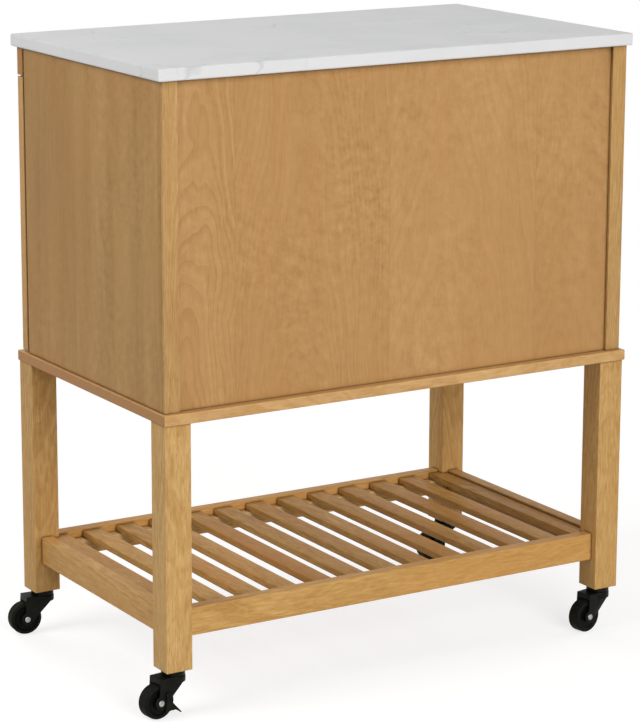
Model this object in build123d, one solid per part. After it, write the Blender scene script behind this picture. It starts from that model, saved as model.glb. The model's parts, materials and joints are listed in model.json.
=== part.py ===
from build123d import *
import os
from math import cos, radians, sin, sqrt

# Kitchen cart: a stone slab on a two-door wooden cabinet, on four legs with a
# slatted shelf between them, on four swivel casters of which two have a brake.
#
# All sizes are in millimetres. +Z is up, the doors face -Y and the plain back
# faces +Y. "Left" is -X, as seen by someone standing in front of the doors.
# While it is built, X = 0 and Y = 0 are the middle of the slab. At the end the
# cart is moved so that its origin is on the floor, in the middle of its box.

# Overall and slab
overall_height = 914.0
top_width = 789.0
top_depth = 460.0
top_thickness = 18.0
top_edge_radius = 2.5

# Cabinet, which follows the slab's size by how far the slab reaches past it
top_side_overhang = 7.5
top_back_overhang = 5.5
top_front_overhang = 7.5
cabinet_edge_radius = 0.8
side_thickness = 16.0
back_thickness = 12.0
back_stile_width = 24.0
back_stile_thickness = 6.0
board_thickness = 15.5
board_height = 423.0
board_side_overhang = 5.0
board_front_overhang = 8.0
board_back_overhang = 9.0
board_edge_radius = 1.5
stretcher_thickness = 18.0

# Fixed front rail and the two doors under it
front_reveal = 5.5
door_thickness = 16.0
rail_height = 41.5
door_top_gap = 2.5
door_bottom_gap = 3.0
door_meeting_gap = 3.0
door_frame_width = 56.0
door_edge_radius = 1.0
door_panel_thickness = 8.0
panel_groove_depth = 8.0
panel_edge_room = 1.0
panel_face_room = 0.2

# Door pivots: a pin in each end of the hinge stile, turning in a flanged bush
pivot_inset = 9.0
pivot_radius = 3.0
pivot_running_clearance = 0.05
pivot_depth_in_door = 14.0
bush_wall = 2.0
bush_length = 9.5
bush_flange_radius = 6.5
bush_flange_thickness = 1.2
bush_end_room = 2.5
pin_end_room = 1.5

# Door knobs
knob_base_radius = 8.0
knob_neck_radius = 5.0
knob_head_radius = 14.0
knob_projection = 25.0
knob_foot = 2.0
knob_waist = 10.5
knob_crown = 8.0
knob_drop = 75.0

# Magnetic catches under the front stretcher, one behind each door's free edge
catch_length = 40.0
catch_depth = 15.0
catch_height = 12.0
catch_gap = 0.3
catch_setback = 30.0

# Loose shelf inside the cabinet, on pins in rows of drilled holes
inner_shelf_thickness = 15.0
inner_shelf_height = 655.0
inner_shelf_side_room = 1.0
inner_shelf_front_setback = 10.0
inner_shelf_back_room = 2.0
pin_radius = 2.5
pin_hole_depth = 9.0
pin_projection = 10.0
pin_row_setback = 45.0
pin_row_pitch = 32.0
pin_holes_above_and_below = 2

# Legs
leg_size = 41.0
leg_edge_radius = 1.5
leg_side_setback = 2.0
leg_back_setback = 3.5
leg_front_setback = 1.5

# Slatted shelf: four aprons tenoned into the legs, two cleats and the slats
apron_height = 41.0
apron_top = 153.5
apron_thickness = 18.0
apron_edge_radius = 1.0
tenon_length = 12.0
tenon_thickness = 8.0
tenon_shoulder = 6.0
cleat_width = 14.0
cleat_height = 14.0
slat_count = 13
slat_width = 29.0
slat_thickness = 10.0
slat_drop = 3.5
slat_edge_radius = 1.0
slat_end_room = 0.5
slat_side_room = 1.0

# Casters
caster_height = 67.5
wheel_radius = 24.5
wheel_width = 20.0
wheel_tread_radius = 3.5
wheel_dish_radius = 17.0
wheel_dish_depth = 2.5
wheel_hub_radius = 7.5
wheel_side_gap = 0.3
hub_end_proud = 0.6
caster_trail = 29.5
socket_plate_radius = 17.0
socket_plate_thickness = 8.0
stem_radius = 5.0
stem_length = 30.0
stem_end_room = 2.0
swivel_gap = 0.3
kingpin_radius = 4.0
kingpin_clearance = 0.05
kingpin_head_radius = 6.5
kingpin_head_thickness = 3.0
kingpin_head_gap = 0.5
fork_head_radius = 17.5
fork_head_height = 9.5
fork_head_edge = 2.5
fork_cheek_thickness = 2.5
fork_cavity_gap = 1.8
fork_boss_radius = 9.5
fork_nose_reach = 1.0
fork_neck_reach = 3.0
fork_heel_reach = 11.0
fork_heel_drop = 7.5
fork_back_lean = 205.0
axle_radius = 3.0
axle_clearance = 0.05
axle_head_radius = 4.5
axle_head_thickness = 1.2
axle_head_edge = 0.7

# Brake pedal on two of the casters, hung on a stub pin each side of the fork.
# Its outline is measured from the axle, back away from the trail and down.
pedal_pivot_back = 12.0
pedal_pivot_rise = 10.0
pedal_pin_radius = 2.0
pedal_pin_clearance = 0.05
pedal_eye_radius = 4.5
pedal_eye_neck = 3.6
pedal_side_gap = 0.3
pedal_sheet = 1.5
pedal_waist_back = 17.5
pedal_waist_drop = 1.0
pedal_blade_back = 27.0
pedal_blade_drop = 11.5
pedal_tip_back = 33.0
pedal_tip_drop = 18.2
pedal_foot_front = 6.0
pedal_foot_back = 25.5
pedal_foot_drop = 13.2

# How each caster stands in the cart's rest pose: the turn of its trailing
# wheel from +X, in degrees, and whether it has a brake
casters = {
    "back_right": (7.0, True),
    "front_right": (-4.5, False),
    "back_left": (10.5, False),
    "front_left": (4.0, True),
}

# Heights and depths that several pieces share
slab_bottom = overall_height - top_thickness
board_top = board_height + board_thickness
cabinet_width = top_width - 2 * top_side_overhang
cabinet_back = top_depth / 2 - top_back_overhang
side_back = cabinet_back - back_stile_thickness
front_face = -top_depth / 2 + top_front_overhang
front_back_face = front_face + door_thickness
side_front = front_back_face + front_reveal
board_half_width = cabinet_width / 2 + board_side_overhang
board_front = front_face - board_front_overhang
board_back = cabinet_back + board_back_overhang
inside_half_width = cabinet_width / 2 - side_thickness
back_panel_front = side_back - back_thickness

# Doors
rail_bottom = slab_bottom - rail_height
door_top = rail_bottom - door_top_gap
door_bottom = board_top + door_bottom_gap
door_middle_y = (front_face + front_back_face) / 2
pivot_x = cabinet_width / 2 - pivot_inset

# Legs
leg_outer_x = board_half_width - leg_side_setback
leg_back_y = board_back - leg_back_setback
leg_front_y = board_front + leg_front_setback
leg_inner_x = leg_outer_x - leg_size
leg_x = leg_outer_x - leg_size / 2
leg_y = {"back": leg_back_y - leg_size / 2, "front": leg_front_y + leg_size / 2}
side_sign = {"left": -1, "right": 1}

# Slatted shelf
apron_bottom = apron_top - apron_height
slat_top = apron_top - slat_drop
slat_bottom = slat_top - slat_thickness

# Casters, measured from the swivel axis on the floor, with X along the trail
fork_top = caster_height - socket_plate_thickness - swivel_gap
fork_inner = wheel_width / 2 + hub_end_proud + wheel_side_gap
fork_outer = fork_inner + fork_cheek_thickness
cavity_radius = wheel_radius + fork_cavity_gap
head_bottom = fork_top - fork_head_height
pedal_pivot_x = caster_trail - pedal_pivot_back
pedal_pivot_z = wheel_radius + pedal_pivot_rise
pedal_inner = fork_outer + pedal_side_gap
pedal_outer = pedal_inner + pedal_sheet


def span_box(x0, x1, y0, y1, z0, z1):
    """A box between two corners."""
    centre = ((x0 + x1) / 2, (y0 + y1) / 2, (z0 + z1) / 2)
    return Pos(*centre) * Box(abs(x1 - x0), abs(y1 - y0), abs(z1 - z0))


def upright(radius, x, y, z0, z1):
    """A vertical cylinder from z0 up to z1."""
    return Pos(x, y, (z0 + z1) / 2) * Cylinder(radius, z1 - z0)


def across(radius, x, z, y0, y1):
    """A cylinder along Y from y0 to y1."""
    return Pos(x, (y0 + y1) / 2, z) * Rot(90, 0, 0) * Cylinder(radius, y1 - y0)


def lengthwise(radius, y, z, x0, x1):
    """A cylinder along X from x0 to x1."""
    return Pos((x0 + x1) / 2, y, z) * Rot(0, 90, 0) * Cylinder(radius, x1 - x0)


def side_profile(points, half_width):
    """Extrude an outline drawn in X and Z evenly to both sides of Y = 0."""
    face = make_face(Plane.XZ * Polyline(*points, close=True))
    return extrude(face, half_width, both=True)


def eased(shape, radius, axis=None):
    """Round the edges of a shape, all of them or those along one axis."""
    edges = shape.edges() if axis is None else shape.edges().filter_by(axis)
    return fillet(edges, radius)


def stone_top():
    half_width = top_width / 2
    half_depth = top_depth / 2
    slab = span_box(-half_width, half_width, -half_depth, half_depth, slab_bottom, overall_height)
    return {"stone_top": eased(slab, top_edge_radius)}


def pin_row_heights():
    """Heights of the shelf-pin holes; the middle one carries the shelf."""
    middle = inner_shelf_height - pin_radius
    steps = range(-pin_holes_above_and_below, pin_holes_above_and_below + 1)
    return [middle + step * pin_row_pitch for step in steps]


def pin_row_depths():
    """The Y of the front and the back row of shelf-pin holes."""
    return [side_front + pin_row_setback, back_panel_front - pin_row_setback]


def side_panel(sign):
    panel = span_box(
        sign * inside_half_width, sign * cabinet_width / 2, side_front, side_back, board_top, slab_bottom
    )
    panel = eased(panel, cabinet_edge_radius, Axis.Z)
    inner = sign * inside_half_width
    holes = [
        lengthwise(pin_radius, y, z, *sorted((inner, inner + sign * pin_hole_depth)))
        for y in pin_row_depths()
        for z in pin_row_heights()
    ]
    return panel - holes


def carcass():
    pieces = {f"side_panel_{side}": side_panel(sign) for side, sign in side_sign.items()}
    pieces["back_panel"] = span_box(
        -inside_half_width, inside_half_width, back_panel_front, side_back, board_top, slab_bottom
    )
    half_width = cabinet_width / 2
    stile_inner = half_width - back_stile_width
    pieces["back_stiles"] = []
    for sign in side_sign.values():
        stile = span_box(
            sign * stile_inner, sign * half_width, side_back, cabinet_back, board_top, slab_bottom
        )
        pieces["back_stiles"].append(eased(stile, cabinet_edge_radius, Axis.Z))
    pieces["front_stretcher"] = span_box(
        -inside_half_width,
        inside_half_width,
        front_back_face,
        front_back_face + stretcher_thickness,
        rail_bottom,
        slab_bottom,
    )
    rail = span_box(-half_width, half_width, front_face, front_back_face, rail_bottom, slab_bottom)
    pieces["front_rail"] = eased(rail, cabinet_edge_radius, Axis.X)
    pieces["bottom_board"] = eased(
        span_box(-board_half_width, board_half_width, board_front, board_back, board_height, board_top),
        board_edge_radius,
    )
    bush_radius = pivot_radius + bush_wall
    for sign in side_sign.values():
        seat_depth = bush_length + bush_end_room
        x = sign * pivot_x
        pieces["front_rail"] -= upright(bush_radius, x, door_middle_y, rail_bottom, rail_bottom + seat_depth)
        pieces["bottom_board"] -= upright(bush_radius, x, door_middle_y, board_top - seat_depth, board_top)
    return pieces


def inner_shelf():
    half_width = inside_half_width - inner_shelf_side_room
    front = side_front + inner_shelf_front_setback
    back = back_panel_front - inner_shelf_back_room
    top = inner_shelf_height + inner_shelf_thickness
    pins = []
    for sign in side_sign.values():
        sunk = inside_half_width + pin_hole_depth
        ends = sorted((sign * sunk, sign * (inside_half_width - pin_projection)))
        for y in pin_row_depths():
            pins.append(lengthwise(pin_radius, y, inner_shelf_height - pin_radius, *ends))
    return {
        "inner_shelf": span_box(-half_width, half_width, front, back, inner_shelf_height, top),
        "shelf_pins": pins,
    }


def pivot_bushes():
    """Four flanged bushes: two in the rail above the doors, two in the board."""
    bore = pivot_radius + pivot_running_clearance
    bushes = []
    for sign in side_sign.values():
        x = sign * pivot_x
        for face, outward in ((rail_bottom, -1), (board_top, 1)):
            sleeve = sorted((face, face - outward * bush_length))
            flange = sorted((face, face + outward * bush_flange_thickness))
            whole = sorted((sleeve[0], sleeve[1], flange[0], flange[1]))
            bush = upright(pivot_radius + bush_wall, x, door_middle_y, *sleeve)
            bush += upright(bush_flange_radius, x, door_middle_y, *flange)
            bush -= upright(bore, x, door_middle_y, whole[0], whole[-1])
            bushes.append(bush)
    return {"pivot_bushes": bushes}


def knob(x, z):
    """A turned knob that stands out of the door's face towards -Y."""
    shoulder = (knob_head_radius, knob_projection - knob_crown)
    foot = Polyline((0, 0), (knob_base_radius, 0), (knob_base_radius, knob_foot))
    flare = Spline((knob_base_radius, knob_foot), (knob_neck_radius, knob_waist), shoulder)
    crown = TangentArc((0, knob_projection), shoulder, tangent=(1, 0))
    middle = Line((0, knob_projection), (0, 0))
    edges = [edge for line in (foot, flare, crown, middle) for edge in line.edges()]
    turned = revolve(make_face(edges), Axis.Y)
    return Pos(x, front_face, z) * Rot(180, 0, 0) * turned


def door_catches():
    """Two blocks under the stretcher whose front faces the shut doors rest on."""
    front = front_back_face + catch_gap
    catches = []
    for sign in side_sign.values():
        middle = sign * catch_setback
        catches.append(span_box(
            middle - catch_length / 2, middle + catch_length / 2,
            front, front + catch_depth, rail_bottom - catch_height, rail_bottom,
        ))
    return {"door_catches": catches}


def door(side):
    sign = side_sign[side]
    hinge_edge = sign * cabinet_width / 2
    free_edge = sign * door_meeting_gap / 2
    stile_hinge = hinge_edge - sign * door_frame_width
    stile_free = free_edge + sign * door_frame_width

    def slab(x0, x1, z0, z1):
        return span_box(x0, x1, front_face, front_back_face, z0, z1)

    frame = [
        slab(hinge_edge, stile_hinge, door_bottom, door_top),
        slab(stile_free, free_edge, door_bottom, door_top),
        slab(stile_hinge, stile_free, door_bottom, door_bottom + door_frame_width),
        slab(stile_hinge, stile_free, door_top - door_frame_width, door_top),
    ]

    half_thickness = door_panel_thickness / 2
    low = door_bottom + door_frame_width
    high = door_top - door_frame_width
    x_low, x_high = sorted((stile_hinge, stile_free))

    def panel(reach, room):
        y0 = door_middle_y - half_thickness - room
        y1 = door_middle_y + half_thickness + room
        return span_box(x_low - reach, x_high + reach, y0, y1, low - reach, high + reach)

    groove = panel(panel_groove_depth, panel_face_room)
    pins = []
    x = sign * pivot_x
    below = door_bottom - door_bottom_gap - bush_length - bush_end_room + pin_end_room
    above = door_top + door_top_gap + bush_length + bush_end_room - pin_end_room
    pins.append(upright(pivot_radius, x, door_middle_y, below, door_bottom + pivot_depth_in_door))
    pins.append(upright(pivot_radius, x, door_middle_y, door_top - pivot_depth_in_door, above))
    members = [eased(member, door_edge_radius, Axis.Z if i < 2 else Axis.X) - groove
               for i, member in enumerate(frame)]
    members[0] = members[0] - pins
    knob_x = free_edge + sign * door_frame_width / 2
    return {
        f"door_frame_{side}": members,
        f"door_panel_{side}": panel(panel_groove_depth - panel_edge_room, 0),
        f"door_knob_{side}": knob(knob_x, door_top - knob_drop),
        f"door_pivots_{side}": pins,
    }


def tenon_zone():
    """Bottom and top of the aprons' tenons."""
    return apron_bottom + tenon_shoulder, apron_top - tenon_shoulder


def aprons():
    z0, z1 = tenon_zone()
    half_apron = apron_thickness / 2
    half_tenon = tenon_thickness / 2
    pieces = {}
    for row, y in leg_y.items():
        body = span_box(-leg_inner_x, leg_inner_x, y - half_apron, y + half_apron, apron_bottom, apron_top)
        reach = leg_inner_x + tenon_length
        tenon = span_box(-reach, reach, y - half_tenon, y + half_tenon, z0, z1)
        pieces[f"apron_{row}"] = eased(body, apron_edge_radius, Axis.X) + tenon
    front = leg_front_y + leg_size
    back = leg_back_y - leg_size
    for side, sign in side_sign.items():
        x = sign * leg_x
        body = span_box(x - half_apron, x + half_apron, front, back, apron_bottom, apron_top)
        tenon = span_box(x - half_tenon, x + half_tenon, front - tenon_length, back + tenon_length, z0, z1)
        pieces[f"apron_{side}"] = eased(body, apron_edge_radius, Axis.Y) + tenon
    return pieces


def legs():
    z0, z1 = tenon_zone()
    half = leg_size / 2
    half_tenon = tenon_thickness / 2
    pieces = {}
    for row, y in leg_y.items():
        inward = 1 if row == "front" else -1
        for side, sign in side_sign.items():
            x = sign * leg_x
            post = span_box(x - half, x + half, y - half, y + half, caster_height, board_height)
            post = eased(post, leg_edge_radius, Axis.Z)
            inner_x = sign * leg_inner_x
            inner_y = y + inward * half
            mortise_x = inner_x + sign * tenon_length
            mortise_y = inner_y - inward * tenon_length
            post -= span_box(inner_x, mortise_x, y - half_tenon, y + half_tenon, z0, z1)
            post -= span_box(x - half_tenon, x + half_tenon, inner_y, mortise_y, z0, z1)
            post -= upright(stem_radius, x, y, caster_height, caster_height + stem_length + stem_end_room)
            pieces[f"leg_{row}_{side}"] = post
    return pieces


def slatted_shelf():
    front = leg_y["front"] + apron_thickness / 2
    back = leg_y["back"] - apron_thickness / 2
    cleat_x = leg_inner_x
    cleats = [
        span_box(-cleat_x, cleat_x, front, front + cleat_width, slat_bottom - cleat_height, slat_bottom),
        span_box(-cleat_x, cleat_x, back - cleat_width, back, slat_bottom - cleat_height, slat_bottom),
    ]
    pieces = {"shelf_cleats": cleats}
    apron_inner_x = leg_x - apron_thickness / 2
    first = -(apron_inner_x - slat_side_room) + slat_width / 2
    pitch = -2 * first / (slat_count - 1)
    blank = span_box(-slat_width / 2, slat_width / 2, front + slat_end_room, back - slat_end_room,
                     slat_bottom, slat_top)
    blank = eased(blank, slat_edge_radius, Axis.Y)
    corner = leg_size / 2 + slat_end_room
    posts = [
        span_box(sign * leg_x - corner, sign * leg_x + corner, y - corner, y + corner, slat_bottom, slat_top)
        for sign in side_sign.values()
        for y in leg_y.values()
    ]
    for index in range(slat_count):
        slat = Pos(first + index * pitch, 0, 0) * blank
        if index in (0, slat_count - 1):
            slat -= posts
        pieces[f"slat_{index + 1:02d}"] = slat
    return pieces


def caster_socket():
    """Plate and stem fixed in the leg, with the kingpin that the fork turns on."""
    plate_bottom = caster_height - socket_plate_thickness
    head_top = head_bottom - kingpin_head_gap
    socket = upright(socket_plate_radius, 0, 0, plate_bottom, caster_height)
    socket += upright(stem_radius, 0, 0, caster_height, caster_height + stem_length)
    socket += upright(kingpin_radius, 0, 0, head_top - kingpin_head_thickness, plate_bottom)
    socket += upright(kingpin_head_radius, 0, 0, head_top - kingpin_head_thickness, head_top)
    return socket


def fork_outline():
    """Side view of the fork, from the heel under the swivel round to the nose."""
    lean = radians(fork_back_lean)
    return [
        (-fork_heel_reach, fork_top),
        (caster_trail + fork_nose_reach, fork_top),
        (caster_trail + fork_neck_reach, wheel_radius),
        (caster_trail + fork_boss_radius * cos(lean), wheel_radius + fork_boss_radius * sin(lean)),
        (-fork_heel_reach, fork_top - fork_heel_drop),
    ]


def caster_fork(braked):
    fork = side_profile(fork_outline(), fork_outer)
    fork += across(fork_boss_radius, caster_trail, wheel_radius, -fork_outer, fork_outer)
    fork += upright(fork_head_radius, 0, 0, head_bottom, fork_top)
    rim = fork.edges().filter_by(GeomType.CIRCLE).group_by(Axis.Z)[-1]
    fork = fillet(rim, fork_head_edge)
    fork -= across(cavity_radius, caster_trail, wheel_radius, -fork_inner, fork_inner)
    bore_bottom = head_bottom - kingpin_head_gap
    fork -= upright(kingpin_radius + kingpin_clearance, 0, 0, bore_bottom, fork_top)
    fork -= upright(kingpin_head_radius + kingpin_head_gap, 0, 0, 0, head_bottom)
    fork -= across(axle_radius, caster_trail, wheel_radius, -fork_outer, fork_outer)
    if braked:
        for sign in (-1, 1):
            ends = sorted((sign * fork_inner, sign * pedal_outer))
            fork += across(pedal_pin_radius, pedal_pivot_x, pedal_pivot_z, *ends)
    return fork


def caster_axle():
    reach = fork_outer + axle_head_thickness
    axle = across(axle_radius, caster_trail, wheel_radius, -reach, reach)
    for sign in (-1, 1):
        ends = sorted((sign * fork_outer, sign * reach))
        head = across(axle_head_radius, caster_trail, wheel_radius, *ends)
        outer = head.edges().filter_by(GeomType.CIRCLE).sort_by(Axis.Y)[0 if sign < 0 else -1]
        axle += fillet(outer, axle_head_edge)
    return axle


def caster_wheel():
    """Wheel with rounded treads and dished sides, turned about its bore."""
    bore = axle_radius + axle_clearance
    half = wheel_width / 2
    hub_half = fork_inner - wheel_side_gap
    web = half - wheel_dish_depth
    half_outline = Polyline(
        (bore, 0), (bore, hub_half), (wheel_hub_radius, hub_half), (wheel_hub_radius, web),
        (wheel_dish_radius, web), (wheel_dish_radius + wheel_dish_depth, half),
        (wheel_radius, half), (wheel_radius, 0), close=True,
    )
    face = make_face(half_outline)
    corner = face.vertices().sort_by(lambda v: v.X + v.Y)[-1]
    face = fillet(corner, wheel_tread_radius)
    half_wheel = revolve(face, Axis.Y)
    wheel = half_wheel + mirror(half_wheel, Plane.XZ)
    return Pos(caster_trail, 0, wheel_radius) * wheel


def from_axle(back, drop):
    """A point of the caster's side view, by how far it lies behind and below the axle."""
    return caster_trail - back, wheel_radius - drop


def brake_pedal():
    """Two cheeks hung on the fork's stub pins, with the foot blade between them."""
    eye = (pedal_pivot_x, pedal_pivot_z)
    slip = pedal_sheet / sqrt(2)
    blade = from_axle(pedal_blade_back, pedal_blade_drop)
    tip = from_axle(pedal_tip_back, pedal_tip_drop)
    tip_under = (tip[0] + slip, tip[1] - slip)
    blade_under = (blade[0] + slip, blade[1] - slip)
    plate = side_profile([blade, tip, tip_under, blade_under], pedal_outer)
    cheek = side_profile(
        [
            (eye[0] + pedal_eye_neck, eye[1]),
            from_axle(pedal_foot_front, pedal_foot_drop),
            from_axle(pedal_foot_back, pedal_foot_drop),
            tip_under,
            tip,
            from_axle(pedal_waist_back, pedal_waist_drop),
            (eye[0] - pedal_eye_neck, eye[1]),
        ],
        pedal_outer,
    )
    cheek += across(pedal_eye_radius, *eye, -pedal_outer, pedal_outer)
    between = span_box(-caster_height, caster_height, -pedal_inner, pedal_inner, 0, caster_height)
    pedal = plate + (cheek - between)
    for sign in (-1, 1):
        ends = sorted((sign * pedal_inner, sign * pedal_outer))
        pedal -= across(pedal_pin_radius + pedal_pin_clearance, *eye, *ends)
    return pedal


def caster_pieces():
    pieces = {}
    for corner, (turn, braked) in casters.items():
        row, side = corner.split("_")
        place = Pos(side_sign[side] * leg_x, leg_y[row], 0) * Rot(0, 0, turn)
        pieces[f"caster_socket_{corner}"] = place * caster_socket()
        pieces[f"caster_fork_{corner}"] = place * caster_fork(braked)
        pieces[f"caster_axle_{corner}"] = place * caster_axle()
        pieces[f"caster_wheel_{corner}"] = place * caster_wheel()
        if braked:
            pieces[f"brake_pedal_{corner}"] = place * brake_pedal()
    return pieces


def cart():
    """Every node of the cart, by name, with its list of solids."""
    pieces = {}
    cabinet = [stone_top(), carcass(), inner_shelf(), pivot_bushes(), door_catches()]
    doors = [door(side) for side in side_sign]
    base = [legs(), aprons(), slatted_shelf(), caster_pieces()]
    for group in cabinet + doors + base:
        pieces.update(group)
    nodes = {}
    for name, piece in pieces.items():
        items = piece if isinstance(piece, list) else [piece]
        nodes[name] = [solid for item in items for solid in item.solids()]
    return nodes


def main():
    nodes = cart()
    box = Compound([solid for solids in nodes.values() for solid in solids]).bounding_box()
    to_origin = Pos(-box.center().X, -box.center().Y, -box.min.Z)
    os.makedirs("parts", exist_ok=True)
    for name, solids in nodes.items():
        moved = [to_origin * solid for solid in solids]
        shape = moved[0] if len(moved) == 1 else Compound(moved)
        export_step(shape, f"parts/{name}.step")
    print("nodes", len(nodes))
    print("origin from the slab's middle", round(-box.center().X, 3), round(-box.center().Y, 3))


if __name__ == "__main__":
    main()
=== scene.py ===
"""Dresses the kitchen cart: wood, stone, plastic and metal finishes, slats, screws, studio and camera.

The cart stands on the floor with +Z up. Its doors face -Y, its plain back faces +Y, and every
length here is in metres.
"""

import json
import logging
import math
from dataclasses import dataclass, field, replace
from enum import Enum
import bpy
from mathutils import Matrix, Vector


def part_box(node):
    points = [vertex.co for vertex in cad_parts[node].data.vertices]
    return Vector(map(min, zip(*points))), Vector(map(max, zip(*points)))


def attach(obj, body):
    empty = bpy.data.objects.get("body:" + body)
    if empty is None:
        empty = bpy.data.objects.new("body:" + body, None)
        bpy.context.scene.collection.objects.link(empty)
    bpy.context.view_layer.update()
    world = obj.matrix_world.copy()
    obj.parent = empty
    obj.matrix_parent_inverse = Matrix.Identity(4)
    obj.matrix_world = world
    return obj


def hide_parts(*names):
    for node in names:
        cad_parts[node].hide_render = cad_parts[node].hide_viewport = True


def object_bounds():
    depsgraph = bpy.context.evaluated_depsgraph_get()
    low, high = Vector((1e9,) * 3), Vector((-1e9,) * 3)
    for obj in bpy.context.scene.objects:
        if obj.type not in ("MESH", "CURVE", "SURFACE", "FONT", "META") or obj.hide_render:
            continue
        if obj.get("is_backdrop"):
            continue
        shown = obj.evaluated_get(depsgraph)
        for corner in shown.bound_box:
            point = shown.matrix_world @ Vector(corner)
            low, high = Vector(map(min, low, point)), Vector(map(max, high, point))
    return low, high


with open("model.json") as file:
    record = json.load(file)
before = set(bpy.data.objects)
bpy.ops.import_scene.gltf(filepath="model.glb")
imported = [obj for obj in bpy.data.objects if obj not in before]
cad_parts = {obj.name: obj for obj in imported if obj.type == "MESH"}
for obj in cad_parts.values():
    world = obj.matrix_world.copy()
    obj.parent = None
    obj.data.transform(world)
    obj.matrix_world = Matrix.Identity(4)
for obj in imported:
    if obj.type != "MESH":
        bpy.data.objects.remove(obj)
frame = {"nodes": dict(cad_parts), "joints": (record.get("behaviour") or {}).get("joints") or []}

from zlib import crc32

import bpy
from mathutils import Matrix, Vector

log = logging.getLogger("kitchen_cart")

Colour = tuple[float, float, float, float]
Triple = tuple[float, float, float]
Range = tuple[float, float]
Socket = bpy.types.NodeSocket
Material = bpy.types.Material

WHITE = (1.0, 1.0, 1.0, 1.0)

# How much light a point takes in from around it, from deep in a joint to in the open.
OPENNESS = (0.5, 0.95)


def tint(red: float, green: float, blue: float) -> Colour:
    """Turn a colour as it looks on a screen into the linear values that a shader takes.

    Args:
        red: Red from 0 to 255.
        green: Green from 0 to 255.
        blue: Blue from 0 to 255.

    Returns:
        The linear red, green and blue, and an opaque alpha.
    """

    def linear(value: float) -> float:
        """Undo the screen's gamma for one channel."""
        share = value / 255
        return share / 12.92 if share <= 0.04045 else ((share + 0.055) / 1.055) ** 2.4

    return linear(red), linear(green), linear(blue), 1.0


class Axis(Enum):
    """A direction of the cart, with the turn that brings it onto a pattern's Z axis."""

    WIDTH = (0.0, -math.pi / 2, 0.0)
    DEPTH = (math.pi / 2, 0.0, 0.0)
    HEIGHT = (0.0, 0.0, 0.0)

    @property
    def letter(self) -> str:
        """Name of the matching output of a Separate XYZ node."""
        return {"WIDTH": "X", "DEPTH": "Y", "HEIGHT": "Z"}[self.name]


@dataclass(frozen=True)
class Noise:
    """A noise: its scale, or one for each axis, its finer layers, how strongly those show, and its warp."""

    scale: float | Triple
    layers: float = 2.0
    rough: float = 0.5
    warp: float = 0.0


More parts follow.
